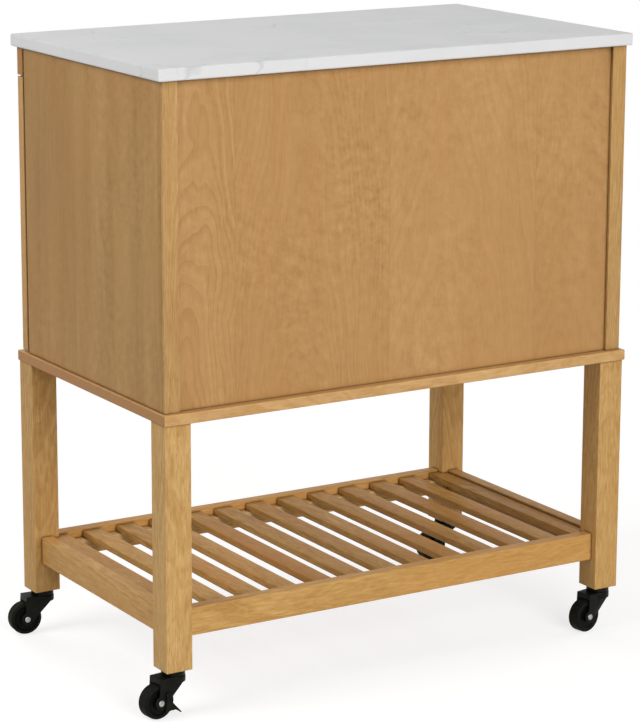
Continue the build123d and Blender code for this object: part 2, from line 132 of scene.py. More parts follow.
@dataclass
class Sketch:
    """Draws a node tree with few words."""

    tree: bpy.types.NodeTree

    def node(self, kind: str, inputs: dict | None = None, **settings: object) -> bpy.types.Node:
        """Add a node.

        Args:
            kind: Blender's name of the node type.
            inputs: Input name or number with its value, or the socket or node that feeds it.
            **settings: Properties of the node itself.

        Returns:
            The new node.
        """
        made = self.tree.nodes.new(kind)
        for name, value in settings.items():
            setattr(made, name, value)
        for key, value in (inputs or {}).items():
            self.feed(made.inputs[key], value)
        return made

    def feed(self, socket: Socket, value: object) -> None:
        """Link a socket to another one or to a node's first output, or set its value."""
        if isinstance(value, bpy.types.Node):
            value = value.outputs[0]
        if isinstance(value, Socket):
            self.tree.links.new(value, socket)
        else:
            socket.default_value = value

    def math(self, operation: str, *values: object, clamp: bool = False) -> Socket:
        """Add a Math node and return its result."""
        made = self.node("ShaderNodeMath", dict(enumerate(values)), operation=operation, use_clamp=clamp)
        return made.outputs[0]

    def vector(self, operation: str, *values: object) -> Socket:
        """Add a Vector Math node and return its vector."""
        made = self.node("ShaderNodeVectorMath", dict(enumerate(values)), operation=operation)
        return made.outputs[0]

    def length(self, vector: object) -> Socket:
        """Measure a vector."""
        return self.node("ShaderNodeVectorMath", {0: vector}, operation="LENGTH").outputs["Value"]

    def combine(self, x: object = 0.0, y: object = 0.0, z: object = 0.0) -> Socket:
        """Make a vector of three numbers."""
        return self.node("ShaderNodeCombineXYZ", {0: x, 1: y, 2: z}).outputs[0]

    def part(self, vector: object, letter: str) -> Socket:
        """Take the X, Y or Z of a vector."""
        return self.node("ShaderNodeSeparateXYZ", {0: vector}).outputs[letter]

    def place(self) -> Socket:
        """Place on the cart."""
        return self.node("ShaderNodeTexCoord").outputs["Object"]

    def noise(self, place: object, pattern: Noise, output: str = "Fac") -> Socket:
        """Add a Noise Texture.

        Args:
            place: Where it is read.
            pattern: Its scale and layers.
            output: "Fac" for a number that is about 0.5 on average, or "Color" for three of them.

        Returns:
            The noise.
        """
        scale = pattern.scale
        if isinstance(scale, tuple):
            place, scale = self.mapped(place, scale), 1.0
        inputs = {"Vector": place, "Scale": scale, "Detail": pattern.layers, "Roughness": pattern.rough,
                  "Distortion": pattern.warp}
        return self.node("ShaderNodeTexNoise", inputs).outputs[output]

    def spread(self, value: object, low: float, high: float, to_low: float, to_high: float) -> Socket:
        """Map one range of numbers onto another, and hold it at its ends."""
        inputs = {"Value": value, "From Min": low, "From Max": high, "To Min": to_low, "To Max": to_high}
        return self.node("ShaderNodeMapRange", inputs).outputs["Result"]

    def picked(self, index: object, values: tuple[float, ...]) -> Socket:
        """Choose one of several numbers by a whole number."""
        chosen: object = values[0]
        for number, value in enumerate(values[1:], 1):
            here = self.math("COMPARE", index, float(number), 0.1)
            chosen = self.math("MULTIPLY_ADD", here, value - values[0], chosen)
        return chosen

    def blend(self, share: object, first: object, second: object) -> Socket:
        """Mix two colours and return the result."""
        return self.node("ShaderNodeMix", {0: share, 6: first, 7: second}, data_type="RGBA").outputs[2]

    def mapped(self, vector: object, scale: Triple = (1.0, 1.0, 1.0), turn: Triple = (0.0, 0.0, 0.0),
               shift: Triple = (0.0, 0.0, 0.0)) -> Socket:
        """Scale, turn and shift a vector."""
        inputs = {"Vector": vector, "Scale": scale, "Rotation": turn, "Location": shift}
        return self.node("ShaderNodeMapping", inputs).outputs["Vector"]

    def bump(self, height: object, distance: float, edge: float = 0.0005) -> Socket:
        """Turn a height from 0 to 1 into a normal, with sharp edges shaded as if rounded.

        Args:
            height: Height.
            distance: Real height of 1.
            edge: Radius that sharp edges seem to have.

        Returns:
            The normal.
        """
        rounded = self.node("ShaderNodeBevel", {"Radius": edge}, samples=4)
        inputs = {"Height": height, "Distance": distance, "Normal": rounded}
        return self.node("ShaderNodeBump", inputs).outputs[0]

    def crevice(self, reach: float) -> Socket:
        """Rise from 0 in the open to 1 deep in a joint, over the given reach, by ambient occlusion; it masks
        painted shade.
        """
        openness = self.node("ShaderNodeAmbientOcclusion", {"Distance": reach}, samples=6).outputs["AO"]
        return self.spread(openness, *OPENNESS, 1.0, 0.0)

    def surface(self, colour: object, roughness: object, normal: object, **constants: float) -> None:
        """Close a material with a Principled shader.

        Args:
            colour: Base colour.
            roughness: Roughness.
            normal: Bumped normal.
            **constants: Other inputs, by their name with underscores for spaces.
        """
        inputs = {"Base Color": colour, "Roughness": roughness, "Normal": normal}
        inputs.update({name.replace("_", " "): value for name, value in constants.items()})
        shader = self.node("ShaderNodeBsdfPrincipled", inputs)
        self.node("ShaderNodeOutputMaterial", {"Surface": shader})


def new_material(name: str) -> tuple[Material, Sketch]:
    """Make an empty material and a sketch to draw its nodes on."""
    material = bpy.data.materials.new(name)
    material.use_nodes = True
    material.node_tree.nodes.clear()
    return material, Sketch(material.node_tree)


def add(name: str, data: bpy.types.ID) -> bpy.types.Object:
    """Make an object of some data and add it to the scene."""
    made = bpy.data.objects.new(name, data)
    bpy.context.scene.collection.objects.link(made)
    return made


def chances(name: str) -> Triple:
    """Three numbers from 0 to 1 that differ from name to name and are the same on each run."""
    number = crc32(name.encode())
    return number % 83 / 82, number % 89 / 88, number % 97 / 96


@dataclass(frozen=True)
class Leaf:
    """One sheet of a veneered face: its heart, its tone, and how strongly rings and clouds show."""

    heart_across: float
    heart_depth: float
    tone: float
    rings: float
    clouds: float


# Where in a log a board, a slat or a leaf of veneer is cut, in its tone and its rings.
LOG_SIZE = 7.0
SLAT_STEP = (31.0, 47.0, 59.0)
LEAF_STEP = (23.0, 19.0, 41.0)
HEART_STRAY = 0.03
BOARD_TONES = 0.14

# Figure of the wood, read in the log with the grain on Z.
SWAY = Noise((9.0, 9.0, 3.4), 3.0)
SWAY_WIDTH = (0.07, 0.05, 0.0)
SIDE_LEAN = math.radians(2.0)
LATE_WOOD = (0.5, 0.95)
FIBRES = Noise((480.0, 480.0, 36.0), 3.0, 0.6)
FLAMES = Noise((230.0, 230.0, 42.0), warp=0.5)
BANDS = Noise((24.0, 24.0, 2.2))
RIPPLES = Noise((60.0, 60.0, 75.0), 4.0, 0.65)
RIPPLE_TILT = math.radians(24.0)
PATCHES = Noise((8.0, 8.0, 5.0), 1.0)
PATCH_RANGE = (0.36, 0.62)
PATCH_LEAST = 0.3

# What lies over the figure: a warmer blush, pores, end grain, dark joint lines, painted shade in crevices
# and under an overhang, and the fine relief.
BLUSH = Noise((9.0, 9.0, 2.2))
BLUSH_RANGE = (0.4, 0.7)
BLUSH_STRENGTH = 0.5
PORES = Noise((900.0, 900.0, 70.0), 1.0)
PORE_RANGE = (0.58, 0.72)
PORE_DEPTH = 1.5
END_FACING = (0.75, 0.95)
END_STRENGTH = 0.75
LEAF_LINE = 0.0011
LEAF_LINE_STRENGTH = 0.3
RAIL_ROOM = 0.0002
RAIL_LINE_INSET = 0.0003
RAIL_LINE = (0.0001, 0.0004)
RAIL_LINE_STRENGTH = 0.8
# Painted shade: a dark brown laid by ambient occlusion into joints and crevices, and under an overhang,
# where shade falls.
PAINTED_SHADE = tint(78, 50, 22)
JOINT_REACH = 0.004
OVERHANG_REACH = 0.012
OVERHANG_FADE = (0.04, 0.015)
OVERHANG_LEAST = 0.14
RELIEF = Noise((700.0, 700.0, 14.0))
RELIEF_RANGE = (0.25, 0.75)
RELIEF_HEIGHT = 0.00006
WOOD_EDGE = 0.0012


@dataclass(frozen=True)
class Wood:
    """Lacquered light hardwood with uneven rings, fine fibres and short pores."""

    name: str
    dark: Colour
    light: Colour
    blush: Colour
    end_grain: Colour
    ring_width: float = 0.0045
    heart_depth: float = 0.05
    lean: float = 4.5
    ring_strength: float = 0.5
    late_wood: float = 0.3
    fibre_strength: float = 0.7
    flame_strength: float = 1.4
    band_strength: float = 0.6
    cloud_strength: float = 0.3
    pore_strength: float = 0.4
    roughness: Range = (0.36, 0.5)
    shine: float = 0.12
    # How strongly painted shade darkens the joints and crevices of this wood.
    joint_shade: float = 0.75
    leaf_width: float = 0.0
    leaf_phase: float = 0.0
    leaf_across: str = "X"
    leaf_kinds: tuple[Leaf, ...] = ()
    stile_width: float = 0.0
    # How strongly a painted shadow darkens the strip under an overhang.
    overhang_shade: float = 0.0

    def lay(self, board: str, grain: Axis) -> None:
        """Give one board its finish from this wood."""
        dress(board, self.material(board, grain))

    def material(self, board: str, grain: Axis, shared: bool = False) -> Material:
        """Make this wood for one board.

        Args:
            board: Frame piece that the board is or starts from. Its name sets where in the log it is cut.
            grain: Direction that the grain runs.
            shared: Whether one mesh holds many boards, told apart by their attributes "cut" and "spot".

        Returns:
            The material.
        """
        material, sketch = new_material(f"{self.name}_{board}")
        coordinates = sketch.node("ShaderNodeTexCoord").outputs
        place = coordinates["Object"]
        first, second, third = chances(board)
        low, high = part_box(board)
        middle: object = tuple((low + high) / 2)
        log_place: object = (first * LOG_SIZE, second * LOG_SIZE, third * LOG_SIZE)
        tone: object = (first - 0.5) * BOARD_TONES
        if shared:
            cut = sketch.node("ShaderNodeAttribute", attribute_name="cut").outputs["Fac"]
            middle = sketch.node("ShaderNodeAttribute", attribute_name="spot").outputs["Vector"]
            log_place = sketch.vector("MULTIPLY_ADD", sketch.combine(cut, cut, cut), SLAT_STEP, log_place)
            tone = sketch.spread(cut, 0.0, 1.0, -BOARD_TONES, BOARD_TONES)
        along: object = sketch.mapped(sketch.vector("SUBTRACT", place, middle), turn=grain.value)
        joint: object = 0.0
        on_stile: object = 1.0
        if self.stile_width:
            on_stile, joint, along = self.framed(sketch, place, along, middle, (low.x, high.x))
        heart_side = 1.0 if second > 0.5 else -1.0
        heart: object = ((first - 0.5) * HEART_STRAY, self.heart_depth * heart_side, 0.0)
        ring_strength: object = self.ring_strength
        cloud_strength: object = self.cloud_strength
        if self.leaf_kinds:
            along, log_place, index, joint = self.leaves(sketch, along, log_place)
            heart = (0.0, 0.0, 0.0)
            tone = sketch.picked(index, tuple(leaf.tone for leaf in self.leaf_kinds))
            ring_strength = sketch.picked(index, tuple(leaf.rings for leaf in self.leaf_kinds))
            cloud_strength = sketch.picked(index, tuple(leaf.clouds for leaf in self.leaf_kinds))
        in_log = sketch.vector("ADD", along, log_place)
        figure = self.figure(sketch, along, in_log, heart, tone, ring_strength, cloud_strength)
        colour = sketch.blend(figure, self.dark, self.light)
        blush = sketch.spread(sketch.noise(in_log, BLUSH), *BLUSH_RANGE, 0.0, BLUSH_STRENGTH)
        colour = sketch.blend(blush, colour, self.blush)
        pores = sketch.spread(sketch.noise(in_log, PORES), *PORE_RANGE, 0.0, self.pore_strength)
        shade = sketch.math("MAXIMUM", pores, joint)
        colour = sketch.blend(shade, colour, self.dark)
        facing = sketch.math("ABSOLUTE", sketch.part(coordinates["Normal"], grain.letter))
        facing = sketch.math("MULTIPLY", facing, on_stile)
        cut_end = sketch.spread(facing, *END_FACING, 0.0, END_STRENGTH)
        colour = sketch.blend(cut_end, colour, self.end_grain)
        # Painted shade: darken joints, crevices and the strip under an overhang towards a dark brown.
        colour = sketch.blend(self.painted_shade_strength(sketch, place, high.z), colour, PAINTED_SHADE)
        relief = sketch.noise(in_log, RELIEF)
        height = sketch.math("SUBTRACT", relief, sketch.math("MULTIPLY", shade, PORE_DEPTH))
        rough = sketch.spread(relief, *RELIEF_RANGE, *self.roughness)
        normal = sketch.bump(height, RELIEF_HEIGHT, edge=WOOD_EDGE)
        sketch.surface(colour, rough, normal, Specular_IOR_Level=self.shine)
        return material

    def painted_shade_strength(self, sketch: Sketch, place: object, top: float) -> Socket:
        """Paint shade into the joints, and a painted shadow on the strip under an overhang.

        Args:
            sketch: The material's sketch.
            place: Place on the cart.
            top: Height of the board's upper end.

        Returns:
            How strongly the painted shade shows.
        """
        # Painted shade in joints and crevices, wherever ambient occlusion finds them.
        joints = sketch.math("MULTIPLY", sketch.crevice(JOINT_REACH), self.joint_shade)
        if not self.overhang_shade:
            return joints
        # Painted shadow under an overhang: strongest near the board's top, weaker further down.
        fade_from, fade_to = (top - below for below in OVERHANG_FADE)
        share = sketch.spread(sketch.part(place, "Z"), fade_from, fade_to,
                              OVERHANG_LEAST * self.overhang_shade, self.overhang_shade)
        shaded = sketch.math("MULTIPLY", sketch.crevice(OVERHANG_REACH), share)
        return sketch.math("MAXIMUM", joints, shaded)

    def framed(self, sketch: Sketch, place: object, along: object, middle: object,
               sides: Range) -> tuple[object, ...]:
        """Turn the grain of a frame's rails to run from stile to stile.

        Args:
            sketch: The material's sketch.
            place: Place on the cart.
            along: Place on the frame, with the grain of the stiles on Z.
            middle: Middle of the frame.
            sides: The frame's left and right edge.

        Returns:
            1 on the stiles and 0 on the rails, how strongly the joint between them shows, and the place with
            the grain of either on Z.
        """
        left, right = sides
        across = sketch.math("SUBTRACT", sketch.part(place, "X"), (left + right) / 2)
        rail_end = (right - left) / 2 - self.stile_width - RAIL_ROOM
        off_rail = sketch.math("SUBTRACT", sketch.math("ABSOLUTE", across), rail_end)
        on_stile = sketch.math("GREATER_THAN", off_rail, 0.0)
        off_line = sketch.math("ABSOLUTE", sketch.math("ADD", off_rail, RAIL_LINE_INSET))
        line = sketch.spread(off_line, *RAIL_LINE, RAIL_LINE_STRENGTH, 0.0)
        lying = sketch.mapped(sketch.vector("SUBTRACT", place, middle), turn=Axis.WIDTH.value)
        return on_stile, line, sketch.blend(on_stile, lying, along)

    def leaves(self, sketch: Sketch, along: object, log_place: object) -> tuple[object, ...]:
        """Lay veneer leaves side by side.

        Args:
            sketch: The material's sketch.
            along: Place on the board, with the grain on Z.
            log_place: Where in the log the board is cut.

        Returns:
            Place from the heart of the leaf, place of the leaf in the log, number of the leaf's kind, and
            how strongly the joint between two leaves shows.
        """
        sideways = sketch.part(along, self.leaf_across)
        count = sketch.math("MULTIPLY_ADD", sideways, 1 / self.leaf_width, self.leaf_phase)
        index = sketch.math("FLOORED_MODULO", sketch.math("FLOOR", count), float(len(self.leaf_kinds)))
        off_middle = sketch.math("SUBTRACT", sketch.math("FRACT", count), 0.5)
        side = sketch.picked(index, tuple(-leaf.heart_across for leaf in self.leaf_kinds))
        across = sketch.math("MULTIPLY_ADD", off_middle, self.leaf_width, side)
        depth = sketch.picked(index, tuple(leaf.heart_depth for leaf in self.leaf_kinds))
        on_leaf = sketch.combine(across, depth, sketch.part(along, "Z"))
        moved = sketch.combine(index, index, index)
        leaf_place = sketch.vector("MULTIPLY_ADD", moved, LEAF_STEP, log_place)
        edge = 0.5 - LEAF_LINE / self.leaf_width
        line = sketch.spread(sketch.math("ABSOLUTE", off_middle), edge, 0.5, 0.0, LEAF_LINE_STRENGTH)
        return on_leaf, leaf_place, index, line

    def figure(self, sketch: Sketch, along: object, in_log: object, heart: object, tone: object,
               ring_strength: object, cloud_strength: object) -> Socket:
        """Mix rings, fibres, broad bands and clouds.

        Args:
            sketch: The material's sketch.
            along: Place on the board, with the grain on Z.
            in_log: Place in the log, for what has no centre.
            heart: Where the middle of the rings lies from the middle of the board.
            tone: How much lighter this board is.
            ring_strength: How strongly the rings show.
            cloud_strength: How strongly the clouds show.

        Returns:
            A number from dark, 0, to light, 1.
        """
        slow = sketch.vector("SUBTRACT", sketch.noise(in_log, SWAY, "Color"), (0.5, 0.5, 0.5))
        sway = sketch.vector("MULTIPLY_ADD", slow, SWAY_WIDTH, along)
        leaning = sketch.mapped(sway, turn=(math.radians(self.lean), SIDE_LEAN, 0.0), shift=heart)
        radius = sketch.length(sketch.vector("MULTIPLY", leaning, (1.0, 1.0, 0.0)))
        turns = sketch.math("MULTIPLY", radius, 1 / self.ring_width)
        rings = sketch.node("ShaderNodeTexNoise", {
            "W": turns, "Scale": 1.0, "Detail": 2.0, "Roughness": 0.6}, noise_dimensions="1D").outputs["Fac"]
        late = sketch.spread(sketch.math("FRACT", turns), *LATE_WOOD, 0.0, -self.late_wood)
        rings = sketch.math("ADD", rings, late)
        tilted = sketch.mapped(in_log, turn=(0.0, RIPPLE_TILT, 0.0))
        ripples = sketch.math("SUBTRACT", sketch.noise(tilted, RIPPLES), 0.5)
        patch = sketch.spread(sketch.noise(in_log, PATCHES), *PATCH_RANGE, PATCH_LEAST, 1.0)
        clouds = sketch.math("MULTIPLY_ADD", ripples, patch, 0.5)
        total: object = sketch.math("ADD", tone, 0.5)
        fibres, flames, bands = (sketch.noise(in_log, pattern) for pattern in (FIBRES, FLAMES, BANDS))
        for value, strength in ((rings, ring_strength), (fibres, self.fibre_strength),
                                (flames, self.flame_strength), (bands, self.band_strength),
                                (clouds, cloud_strength)):
            total = sketch.math("MULTIPLY_ADD", sketch.math("SUBTRACT", value, 0.5), strength, total)
        return sketch.math("ADD", total, 0.0, clamp=True)


@dataclass(frozen=True)
class Stone:
    """Polished white quartz with faint grey clouds and a few thin veins."""

    name: str = "stone"
    ground: Colour = tint(223, 223, 223)
    cloud: Colour = tint(215, 217, 217)
    vein: Colour = tint(186, 188, 188)
    speck: Colour = tint(205, 206, 205)
    swirl: Noise = Noise(5.0, 3.0)
    swirl_width: float = 0.16
    clouds: Noise = Noise(9.0, 4.0, 0.6)
    cloud_range: Range = (0.42, 0.68)
    cloud_strength: float = 0.6
    veins: Noise = Noise(9.0, 3.0)
    vein_width: float = 0.016
    breaks: Noise = Noise(7.0)
    break_range: Range = (0.52, 0.68)
    vein_strength: float = 0.55
    grit: Noise = Noise(900.0, 1.0)
    grit_range: Range = (0.62, 0.72)
    grit_strength: float = 0.35
    roughness: Range = (0.3, 0.38)
    relief: Noise = Noise(60.0)
    relief_height: float = 0.00004
    edge: float = 0.002
    shine: float = 0.12

    def material(self) -> Material:
        """Make the stone's material."""
        material, sketch = new_material(self.name)
        place = sketch.place()
        swirl = sketch.noise(place, self.swirl, "Color")
        swirled = sketch.vector("MULTIPLY_ADD", swirl, (self.swirl_width,) * 3, place)
        clouds = sketch.noise(swirled, self.clouds)
        clouds = sketch.spread(clouds, *self.cloud_range, 0.0, self.cloud_strength)
        colour = sketch.blend(clouds, self.ground, self.cloud)
        ridge = sketch.math("ABSOLUTE", sketch.math("SUBTRACT", sketch.noise(swirled, self.veins), 0.5))
        thin = sketch.spread(ridge, 0.0, self.vein_width, 1.0, 0.0)
        broken = sketch.spread(sketch.noise(place, self.breaks), *self.break_range, 0.0, self.vein_strength)
        colour = sketch.blend(sketch.math("MULTIPLY", thin, broken), colour, self.vein)
        grit = sketch.spread(sketch.noise(place, self.grit), *self.grit_range, 0.0, self.grit_strength)
        colour = sketch.blend(grit, colour, self.speck)
        rough = sketch.spread(clouds, 0.0, 1.0, *self.roughness)
        normal = sketch.bump(sketch.noise(place, self.relief), self.relief_height, edge=self.edge)
        sketch.surface(colour, rough, normal, Specular_IOR_Level=self.shine)
        return material


@dataclass(frozen=True)
class Plastic:
    """Moulded plastic with a fine texture and slight marks of handling."""

    name: str
    body: Colour
    worn: Colour
    roughness: Range
    shine: float
    marks: Noise = Noise(55.0, 4.0, 0.65)
    mark_range: Range = (0.45, 0.75)
    mark_strength: float = 0.7
    rough_marks: Range = (0.3, 0.7)
    texture: Noise = Noise(1800.0)
    texture_depth: float = 0.00003
    edge: float = 0.0016

    def material(self) -> Material:
        """Make the plastic's material."""
        material, sketch = new_material(self.name)
        place = sketch.place()
        marks = sketch.noise(place, self.marks)
        worn = sketch.spread(marks, *self.mark_range, 0.0, self.mark_strength)
        colour = sketch.blend(worn, self.body, self.worn)
        rough = sketch.spread(marks, *self.rough_marks, *self.roughness)
        normal = sketch.bump(sketch.noise(place, self.texture), self.texture_depth, edge=self.edge)
        sketch.surface(colour, rough, normal, Specular_IOR_Level=self.shine)
        return material


@dataclass(frozen=True)
class Wheel:
    """A moulded wheel: a rubber tyre ring round a smoother plastic centre."""

    name: str
    centre: Triple
    axle: Triple
    tyre_radius: float
    tyre: Colour = tint(15, 16, 11)
    hub: Colour = tint(12, 13, 9)
    scuff: Colour = tint(42, 43, 34)
    border: float = 0.0002
    seam_width: float = 0.0006
    seam_depth: float = 3.0
    marks: Noise = Noise(160.0, 4.0, 0.65)
    mark_range: Range = (0.45, 0.75)
    dust: Range = (0.05, 0.5)
    roughness: Range = (0.36, 0.55)
    mark_roughness: float = 0.1
    texture: Noise = Noise(1500.0)
    texture_depth: float = 0.00006
    shine: float = 0.05

    def material(self) -> Material:
        """Make the wheel's material, which tells tyre from centre by the distance from the axle."""
        material, sketch = new_material(self.name)
        place = sketch.place()
        arm = sketch.vector("SUBTRACT", place, self.centre)
        radius = sketch.length(sketch.vector("CROSS_PRODUCT", arm, self.axle))
        inside, outside = self.tyre_radius - self.border, self.tyre_radius + self.border
        is_tyre = sketch.spread(radius, inside, outside, 0.0, 1.0)
        ring = sketch.math("ABSOLUTE", sketch.math("SUBTRACT", radius, self.tyre_radius))
        seam = sketch.spread(ring, 0.0, self.seam_width, 1.0, 0.0)
        marks = sketch.noise(place, self.marks)
        colour = sketch.blend(is_tyre, self.hub, self.tyre)
        dust = sketch.math("MULTIPLY", sketch.spread(marks, *self.mark_range, *self.dust), is_tyre)
        colour = sketch.blend(dust, colour, self.scuff)
        clean = sketch.spread(is_tyre, 0.0, 1.0, *self.roughness)
        rough = sketch.math("ADD", clean, sketch.math("MULTIPLY", marks, self.mark_roughness))
        groove = sketch.math("MULTIPLY", seam, self.seam_depth)
        height = sketch.math("SUBTRACT", sketch.noise(place, self.texture), groove)
        normal = sketch.bump(height, self.texture_depth)
        sketch.surface(colour, rough, normal, Specular_IOR_Level=self.shine)
        return material


@dataclass(frozen=True)
class Metal:
    """Plated or brushed metal with fine streaks round or along one axis."""

    name: str
    bright: Colour
    dull: Colour
    roughness: Range
    brushed: Noise = Noise((900.0, 60.0, 900.0), 3.0, 0.6)
    brushed_range: Range = (0.3, 0.7)
    brushed_depth: float = 0.00002
    tarnish: Noise = Noise(140.0, 3.0)
    tarnish_range: Range = (0.4, 0.7)
    tarnish_strength: float = 0.8

    def material(self) -> Material:
        """Make the metal's material."""
        material, sketch = new_material(self.name)
        place = sketch.place()
        brushed = sketch.noise(place, self.brushed)
        tarnish = sketch.spread(sketch.noise(place, self.tarnish), *self.tarnish_range, 0.0,
                                self.tarnish_strength)
        colour = sketch.blend(tarnish, self.bright, self.dull)
        rough = sketch.spread(brushed, *self.brushed_range, *self.roughness)
        sketch.surface(colour, rough, sketch.bump(brushed, self.brushed_depth), Metallic=1.0)
        return material


END_GRAIN = tint(158, 110, 64)
VENEER = Wood(
    "veneer", tint(156, 112, 60), tint(206, 165, 112), tint(182, 135, 84), END_GRAIN, ring_width=0.0062,
    lean=-7.0, late_wood=0.45, fibre_strength=0.25, flame_strength=0.3, band_strength=0.35,
    pore_strength=0.2, leaf_width=0.252, leaf_phase=0.92, leaf_kinds=(
        Leaf(0.03, 0.16, 0.06, 0.18, 0.8), Leaf(0.02, 0.07, -0.03, 0.22, 1.15),
        Leaf(-0.059, 0.05, 0.05, 0.5, 0.7), Leaf(0.05, 0.14, 0.0, 0.14, 0.7)))
# The back panel carries a painted shadow under the slab's overhang.
BACK_VENEER = replace(VENEER, overhang_shade=0.8)
SIDE_VENEER = Wood(
    "side_veneer", tint(148, 107, 54), tint(194, 154, 98), tint(174, 126, 72), END_GRAIN,
    ring_width=0.008, lean=3.0, fibre_strength=0.12, flame_strength=0.1, band_strength=0.9,
    pore_strength=0.15, leaf_width=0.252, leaf_phase=0.2, leaf_across="Y", leaf_kinds=(
        Leaf(0.02, 0.12, 0.04, 0.18, 0.9), Leaf(-0.04, 0.09, -0.06, 0.18, 0.9)))
LEG_WOOD = Wood("leg_wood", tint(168, 123, 64), tint(222, 184, 124), tint(206, 161, 98), END_GRAIN,
                flame_strength=0.9, pore_strength=0.6, shine=0.08)
STILE_WOOD = Wood("stile_wood", tint(158, 116, 62), tint(208, 170, 115), tint(194, 149, 92), END_GRAIN,
                  flame_strength=0.7, overhang_shade=0.8)
RAIL_WOOD = Wood("rail_wood", tint(172, 122, 60), tint(222, 180, 114), tint(208, 154, 86), END_GRAIN,
                 flame_strength=0.7)
BOARD_WOOD = Wood("board_wood", tint(176, 128, 72), tint(224, 186, 130), tint(208, 162, 108),
                  tint(164, 114, 70), flame_strength=0.6)
# Painted light: the cleats get a wood lighter than the others, standing in for light on them where they sit
# in the shelf's shade.
CLEAT_WOOD_PAINTED_LIGHT = Wood("cleat_wood_painted_light", tint(196, 152, 92), tint(236, 204, 150), tint(222, 182, 124), END_GRAIN)
SLAT_WOOD = Wood("slat_wood", tint(146, 100, 42), tint(204, 163, 98), tint(186, 128, 64), END_GRAIN,
                 flame_strength=0.9, band_strength=0.8, shine=0.08)
DOOR_WOOD = Wood("door_wood", tint(168, 124, 68), tint(214, 174, 116), tint(198, 152, 96), END_GRAIN,
                 flame_strength=0.8, stile_width=0.056)
BLACK_PLASTIC = Plastic("black_plastic", tint(12, 13, 8), tint(30, 30, 22), (0.35, 0.5), shine=0.08)
PALE_NYLON = Plastic("pale_nylon", tint(226, 224, 216), tint(206, 203, 192), (0.43, 0.58), shine=0.4)
BRIGHT_STEEL = Metal("bright_steel", tint(206, 204, 198), tint(168, 165, 158), (0.24, 0.42))
AXLE_STEEL = Metal("axle_steel", tint(166, 170, 164), tint(128, 132, 127), (0.32, 0.5))
KNOB_STEEL = Metal("knob_steel", tint(198, 196, 190), tint(178, 175, 169), (0.2, 0.38),
                   brushed=Noise((60.0, 1600.0, 60.0), 3.0, 0.6))


def dress(node: str, material: Material) -> None:
    """Give a frame piece its finish.

    Args:
        node: Name of the frame piece.
        material: The finish.
    """
    piece = frame["nodes"][node]
    if not piece.material_slots:
        piece.data.materials.append(material)
    for slot in piece.material_slots:
        slot.material = material


WELD_REACH = 0.00001
ROUNDING_STEPS = 2
ROUNDED_ANGLE = math.radians(40.0)


def soften(node: str, width: float) -> None:
    """Round the sharp edges of a frame piece.

    Args:
        node: Name of the frame piece.
        width: How far from the edge the rounding starts.
    """
    piece = frame["nodes"][node]
    piece.modifiers.new("weld", "WELD").merge_threshold = WELD_REACH
    bevel = piece.modifiers.new("bevel", "BEVEL")
    bevel.width = width
    bevel.segments = ROUNDING_STEPS
    bevel.limit_method = "ANGLE"
    bevel.angle_limit = ROUNDED_ANGLE


CORNERS = ("back_left", "back_right", "front_left", "front_right")
SLAT_COUNT = 13
END_SLATS = ("slat_01", "slat_13")


@dataclass
class StoneTop:
    """The slab."""

    finish: Stone = Stone()

    def build(self) -> list[str]:
        """Dress the slab and return what is made."""
        dress("stone_top", self.finish.material())
        return ["stone_top"]


@dataclass
class Cabinet:
    """Carcass, doors and the loose shelf inside."""

    def build(self) -> list[str]:
        """Dress every board of the cabinet and its hardware.

        Returns:
            What is made.
        """
        BACK_VENEER.lay("back_panel", Axis.HEIGHT)
        VENEER.lay("inner_shelf", Axis.WIDTH)
        STILE_WOOD.lay("back_stiles", Axis.HEIGHT)
        RAIL_WOOD.lay("front_stretcher", Axis.WIDTH)
        RAIL_WOOD.lay("front_rail", Axis.WIDTH)
        BOARD_WOOD.lay("bottom_board", Axis.WIDTH)
        steel = BRIGHT_STEEL.material()
        nylon = PALE_NYLON.material()
        dress("shelf_pins", steel)
        dress("pivot_bushes", nylon)
        dress("door_catches", nylon)
        knob = KNOB_STEEL.material()
        for side in ("left", "right"):
            SIDE_VENEER.lay(f"side_panel_{side}", Axis.HEIGHT)
            DOOR_WOOD.lay(f"door_frame_{side}", Axis.HEIGHT)
            VENEER.lay(f"door_panel_{side}", Axis.HEIGHT)
            dress(f"door_knob_{side}", knob)
            dress(f"door_pivots_{side}", steel)
        return ["cabinet"]


@dataclass
class Legs:
    """Four square legs and the aprons between them."""

    def build(self) -> list[str]:
        """Dress the legs, aprons and cleats.

        Returns:
            What is made.
        """
        for corner in CORNERS:
            LEG_WOOD.lay(f"leg_{corner}", Axis.HEIGHT)
        for row in ("back", "front"):
            RAIL_WOOD.lay(f"apron_{row}", Axis.WIDTH)
        for side in ("left", "right"):
            RAIL_WOOD.lay(f"apron_{side}", Axis.DEPTH)
        # The cleats' lighter wood is painted light.
        CLEAT_WOOD_PAINTED_LIGHT.lay("shelf_cleats", Axis.WIDTH)
        return ["legs"]


